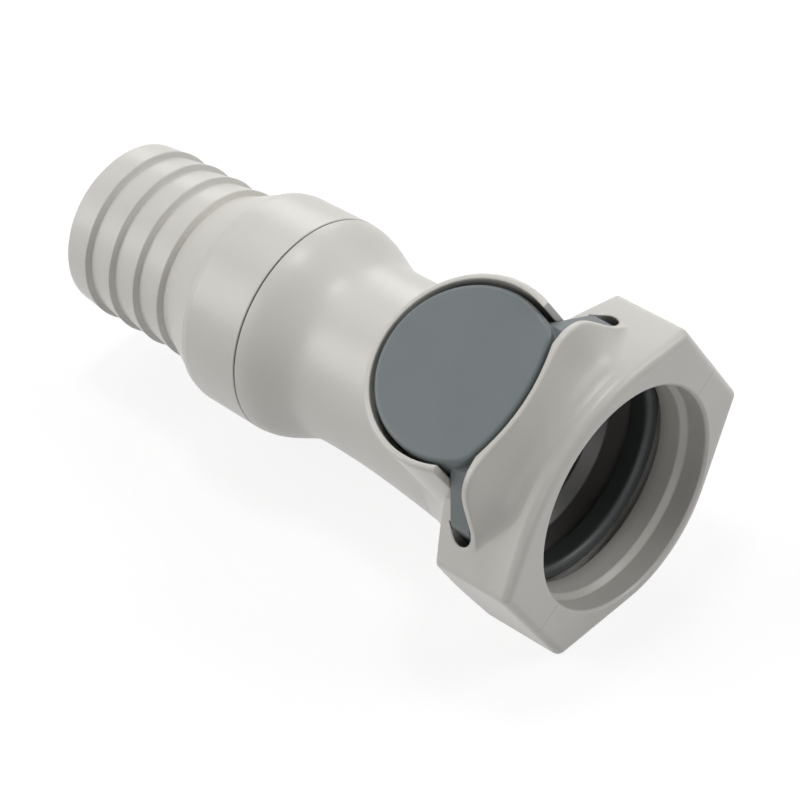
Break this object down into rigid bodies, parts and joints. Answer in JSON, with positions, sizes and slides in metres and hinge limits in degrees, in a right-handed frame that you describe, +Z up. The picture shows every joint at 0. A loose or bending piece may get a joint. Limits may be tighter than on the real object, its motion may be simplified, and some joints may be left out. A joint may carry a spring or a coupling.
{
  "type": "quick disconnect coupling",
  "caption": "Quick disconnect coupling body for 19 mm hose: hexagonal socket with a thumb latch, spring valve inside and a barbed tail.",
  "frame": {"origin": "centre of the socket's mouth, on the bore axis, in the plane of the collar's front face", "axes": "+X along the bore axis out of the mouth; the hose end points along -X; the part lies on one lower flat of its hexagonal collar, so +Z is up from the bench and the thumb pad leans 30 degrees from +Z towards -Y"},
  "size_m": [0.0801, 0.0394, 0.0391],
  "materials": {
    "housing": "light warm grey moulded plastic, satin",
    "latch": "blue-grey moulded plastic, satin",
    "valve": "grey moulded plastic",
    "seal": "black moulded rubber",
    "spring": "drawn stainless wire"
  },
  "bodies": {
    "housing": {"main_body": "housing", "hose_barb": "housing", "valve_guide": "valve", "spigot_seal": "seal", "latch_spring": "spring", "valve_spring": "spring"},
    "latch": {"thumb_latch": "latch"},
    "valve": {"poppet": "valve", "poppet_seal": "seal"}
  },
  "joints": [
    {"name": "latch_press", "type": "slide", "parent": "housing", "child": "latch", "axis": [0, 0.5, -0.866], "range_m": [0, 0.002], "stiffness_N_per_m": 1500, "springref_m": -0.002, "deforming": ["latch_spring"]},
    {"name": "valve_open", "type": "slide", "parent": "housing", "child": "valve", "axis": [-1, 0, 0], "range_m": [0, 0.0045], "stiffness_N_per_m": 800, "springref_m": -0.004, "deforming": ["valve_spring"]}
  ]
}
